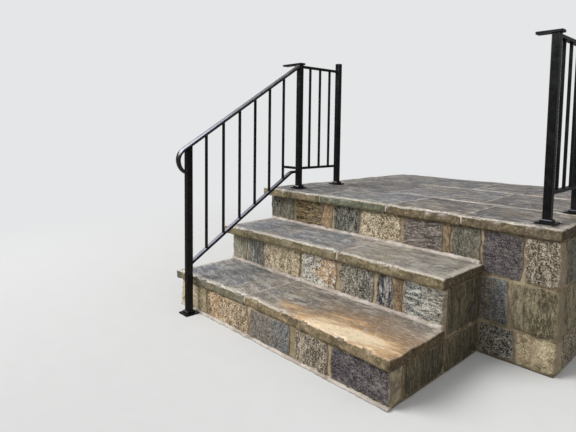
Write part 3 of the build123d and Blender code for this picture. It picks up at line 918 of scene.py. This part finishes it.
for number, (node, (shown_sides, *colours, turn)) in enumerate(slab_faces.items()):
    sizes = {
        "Bite depth": bite_depth,
        "Face draw": face_draw,
        "Ledge height": ledge_height,
        "Waves": top_waves,
        "Rim reach": rim_reach,
        "Chip drop": chip_drop,
        "Chip reach": chip_reach,
        "Finish": flagstone,
    }
    blank = slab_blank(node, shown_sides, colours, turn, number)
    piece = grow(node + "_slab", blank, slab_tree, sizes)
    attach(piece, "root")
    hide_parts(node)

# The steel bars. Square tube, channel and square bar with rolled edges, cut
# and welded up into the railing, then primed and sprayed satin black. The
# paint pulls into a faint orange peel and holds a little dust.
rolled_edge = 0.0011
sharp_edge_degrees = 40
weld_reach = 1e-5
moulded_nodes = ("stair_handrail", "handrail_tongue")
steel_words = ("post", "shoe", "rail", "baluster", "tie", "plate", "tongue")


def black_coat(name, dullness, sheen):
    """Black paint on steel, which hands may have rubbed to a shine."""
    paint_film, start = new_finish(name)
    place = start.node("ShaderNodeTexCoord", output="Object")
    peel = noise(place, 480, 3)
    dust = noise(place, 22, 6, 0.72)
    coat = blend(paint(10, 10, 11), paint(26, 26, 26), rise(dust, 0.50, 0.72))
    coat = blend(coat, paint(64, 60, 54), rise(noise(place, 260, 3, 0.8), 0.66, 0.74) * 0.3)
    end_finish(coat, dullness + (dust - 0.4) * 0.5, peel, relief=0.00005, sheen=sheen)
    return paint_film


satin_paint = black_coat("satin_black_paint", 0.24, 0.35)

for node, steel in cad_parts.items():
    if node in moulded_nodes or not any(word in node for word in steel_words):
        continue
    bar = bpy.data.objects.new(node + "_bar", steel.data.copy())
    bpy.context.scene.collection.objects.link(bar)
    weld = bar.modifiers.new("one shell", "WELD")
    weld.merge_threshold = weld_reach
    edge = bar.modifiers.new("rolled edges", "BEVEL")
    edge.width = rolled_edge
    edge.segments = 3
    edge.limit_method = "ANGLE"
    edge.angle_limit = math.radians(sharp_edge_degrees)
    edge.harden_normals = True
    finished = plain_copy(bar)
    bar.modifiers.clear()
    bar.data = finished
    finished.materials.clear()
    finished.materials.append(satin_paint)
    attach(bar, "root")
    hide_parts(node)

# The handrail. A moulded cap rail with bevelled lips and a low crown runs down
# over the lower post, turns under itself in a tongue that slims towards its
# tip, and is welded to the post's front.
handrail_width = 0.038
handrail_height = 0.019
tongue_nose_radius = 0.058
tongue_tail_radius = 0.074
tongue_taper = 0.74
tongue_root = 0.006
run_steps, turn_steps, crown_steps = 30, 40, 12
crown_start, crown_base, crown_width, crown_fullness = 0.08, 0.14, 0.97, 0.8

rail_points = np.array([vertex.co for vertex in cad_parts["stair_handrail"].data.vertices])
crown_head = rail_points[rail_points[:, 2].argmax()]
crown_foot = rail_points[rail_points[:, 1].argmin()]
rail_x = (rail_points[:, 0].min() + rail_points[:, 0].max()) / 2
climb = math.atan2(crown_head[2] - crown_foot[2], crown_head[1] - crown_foot[1])
crownwards = np.array([-math.sin(climb), math.cos(climb)])
head = crown_head[1:] - crownwards * handrail_height / 2
run_end = crown_foot[1:] - crownwards * handrail_height / 2
nose_centre = run_end - crownwards * tongue_nose_radius
nose = nose_centre - (tongue_nose_radius, 0)
tail_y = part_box("lower_post")[0].y + tongue_root
tail_turn = math.acos(1 - (tail_y - nose[0]) / tongue_tail_radius)
tail_centre = nose + (tongue_tail_radius, 0)
route = [head + (run_end - head) * share for share in np.linspace(0, 1, run_steps)]
for angle in np.linspace(math.pi / 2 + climb, math.pi, turn_steps)[1:]:
    route.append(nose_centre + np.array([math.cos(angle), math.sin(angle)]) * tongue_nose_radius)
for angle in np.linspace(math.pi, math.pi + tail_turn, turn_steps)[1:]:
    route.append(tail_centre + np.array([math.cos(angle), math.sin(angle)]) * tongue_tail_radius)
route = np.array(route)
steps = np.linalg.norm(np.diff(route, axis=0), axis=1)
travel = np.concatenate([[0], np.cumsum(steps)])
tongue_travel = travel[run_steps - 1]
slimming = 1 - (1 - tongue_taper) * np.clip((travel - tongue_travel) / (travel[-1] - tongue_travel), 0, 1)

# half the section, in shares of its half width and half height
lip = [
    (0.62, -1.0), (0.66, -0.96), (0.66, -0.50), (0.70, -0.43),
    (0.93, -0.31), (0.99, -0.22), (1.0, -0.1), (1.0, 0.08),
]
crown = [
    (crown_width * math.cos(angle) ** crown_fullness, crown_base + (1 - crown_base) * math.sin(angle))
    for angle in np.linspace(crown_start, math.pi / 2, crown_steps)
]
right_half = np.array(lip + crown) * (handrail_width / 2, handrail_height / 2)
left_half = right_half[-2::-1] * (-1, 1)
section = np.concatenate([right_half, left_half])

rail_tree, given = new_tree("moulded rail", {"Finish": "Material"})
blanks = given["Geometry"]
is_section = named(blanks, "is_section", "BOOLEAN")
sorting = {"Geometry": blanks, "Selection": is_section}
parts = blanks.node("GeometryNodeSeparateGeometry", {"domain": "POINT"}, sorting)
profile = parts.node("GeometryNodeMeshToCurve", None, {"Mesh": parts})
path = parts.node("GeometryNodeMeshToCurve", None, {"Mesh": parts.other(1)})
path = path.node("GeometryNodeSetCurveNormal", {"mode": "FREE"}, {"Curve": path, "Normal": (1, 0, 0)})
swept = {"Curve": path, "Profile Curve": profile, "Scale": named(path, "size", "FLOAT"), "Fill Caps": True}
rail = path.node("GeometryNodeCurveToMesh", None, swept)
end_tree(rail, given["Finish"])

route_count, section_count = len(route), len(section)
points = [(rail_x, y, z) for y, z in route] + [(across, height, 0) for across, height in section]
edges = [(place, place + 1) for place in range(route_count - 1)]
edges += [(route_count + place, route_count + (place + 1) % section_count) for place in range(section_count)]
blank = bare_mesh("handrail_blank", points, edges)
carry(blank, "size", np.concatenate([slimming, np.ones(section_count)]))
section_flags = [place >= route_count for place in range(route_count + section_count)]
blank.attributes.new("is_section", "BOOLEAN", "POINT").data.foreach_set("value", section_flags)
rubbed_paint = black_coat("rubbed_black_paint", 0.22, 1.0)
handrail = grow("moulded_handrail", blank, rail_tree, {"Finish": rubbed_paint})
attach(handrail, "root")
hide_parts(*moulded_nodes)

# The stand-in studio: a pale floor that fades into a pale backdrop, a broad
# soft lamp up to the left, and an even sky. Gloss sees a bright soft strip high
# in that sky, over the front of the steps, with a dim margin behind it.
floor_reach = 30
floor_drop = 0.0004
floor_fade = (1.9, 4.2)
backdrop_level = 0.9
sky_level, mirrored_level = 0.55, 0.25
strip_level = 11.0
strip_across = (0.28, 1.0, 0.0)
strip_heights = (0.46, 0.62)
strip_front, strip_back = (-0.75, -0.5), (0.02, 0.20)
margin_front, margin_loss = (-0.14, -0.05), 0.88
key_power = 620
key_place, key_aim, key_size = (-3.4, -6.0, 6.0), (-0.1, -0.4, 0.3), (5.0, 4.0)

floor_corners = [(-1, -1), (1, -1), (1, 1), (-1, 1)]
floor_points = [(x * floor_reach, y * floor_reach, -floor_drop) for x, y in floor_corners]
floor_mesh = bpy.data.meshes.new("floor")
floor_mesh.from_pydata(floor_points, [], [(0, 1, 2, 3)])
floor = bpy.data.objects.new("floor", floor_mesh)
bpy.context.scene.collection.objects.link(floor)
floor_finish, start = new_finish("pale_floor")
place = start.node("ShaderNodeTexCoord", output="Object")
tone = blend(paint(223, 223, 222), paint(224, 224, 223), rise(noise(place, 9, 3), 0.4, 0.6))
seen = start.node("ShaderNodeLightPath")
tone = blend(tone, paint(120, 120, 118), seen.other("Is Glossy Ray"))
matt = start.node("ShaderNodeBsdfDiffuse", None, {"Color": tone, "Roughness": 0.6})
glow = start.node("ShaderNodeEmission", None, {"Color": paint(240, 241, 242), "Strength": backdrop_level})
distance = place.node("ShaderNodeVectorMath", {"operation": "LENGTH"}, {0: place}, "Value")
fading = {0: rise(distance, *floor_fade) * seen, 1: matt, 2: glow}
mixed = start.node("ShaderNodeMixShader", None, fading)
start.node("ShaderNodeOutputMaterial", None, {"Surface": mixed})
floor_mesh.materials.append(floor_finish)
floor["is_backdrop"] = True

sky = bpy.data.worlds.new("even sky")
sky.use_nodes = True
sky.node_tree.nodes.clear()
start = Wire(sky.node_tree)
seen = start.node("ShaderNodeLightPath")
direction = start.node("ShaderNodeTexCoord", output="Generated")
across = {0: direction, 1: strip_across}
across = direction.node("ShaderNodeVectorMath", {"operation": "DOT_PRODUCT"}, across, "Value")
height = direction.node("ShaderNodeSeparateXYZ", None, {0: direction}, "Z")
strip = rise(height, *strip_heights) * (1 - rise(across, *strip_back)) * rise(across, *strip_front)
strip = strip * (1 - rise(across, *margin_front) * margin_loss)
mirrored = mirrored_level + strip * strip_level
level = sky_level + seen * (backdrop_level - sky_level)
level = level + seen.other("Is Glossy Ray") * (mirrored - sky_level)
sky_tone = blend(paint(240, 241, 242), paint(218, 223, 243), seen.other("Is Glossy Ray") * strip)
backdrop = start.node("ShaderNodeBackground", None, {"Color": sky_tone, "Strength": level})
start.node("ShaderNodeOutputWorld", None, {"Surface": backdrop})
bpy.context.scene.world = sky

lamp = bpy.data.lights.new("soft key", "AREA")
lamp.shape = "RECTANGLE"
lamp.size, lamp.size_y = key_size
lamp.energy = key_power
soft_box = bpy.data.objects.new("soft key", lamp)
soft_box.location = key_place
soft_box.rotation_euler = (Vector(key_place) - Vector(key_aim)).to_track_quat("Z", "Y").to_euler()
bpy.context.scene.collection.objects.link(soft_box)

# The camera stands where the photograph was taken, about a metre and a half
# from the bottom step's right end and just under a metre above the ground.
eye = (1.4234, -2.4150, 0.9718)
heading, dip, lean = 0.815, 0.075, 0.0128
focal_pixels, raise_pixels = 473.6, -51.57
image_width, sensor = 576, 36
ahead = np.array([-math.sin(heading) * math.cos(dip), math.cos(heading) * math.cos(dip), -math.sin(dip)])
level_right = np.array([math.cos(heading), math.sin(heading), 0])
level_up = np.cross(level_right, ahead)
right = math.cos(lean) * level_right + math.sin(lean) * level_up
up = math.cos(lean) * level_up - math.sin(lean) * level_right
view = bpy.data.cameras.new("photograph's view")
view.sensor_width = sensor
view.lens = focal_pixels / image_width * sensor
view.shift_y = raise_pixels / image_width
camera = bpy.data.objects.new("photograph's view", view)
bpy.context.scene.collection.objects.link(camera)
axes = np.stack([right, up, -ahead], axis=1)
camera.matrix_world = Matrix([[*axes[row], eye[row]] for row in range(3)] + [[0, 0, 0, 1]])
bpy.context.scene.camera = camera
bpy.context.scene.view_settings.view_transform = "Standard"

sizes = {"frame": [list(corner) for corner in frame_box], "model": [list(corner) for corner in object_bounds()]}
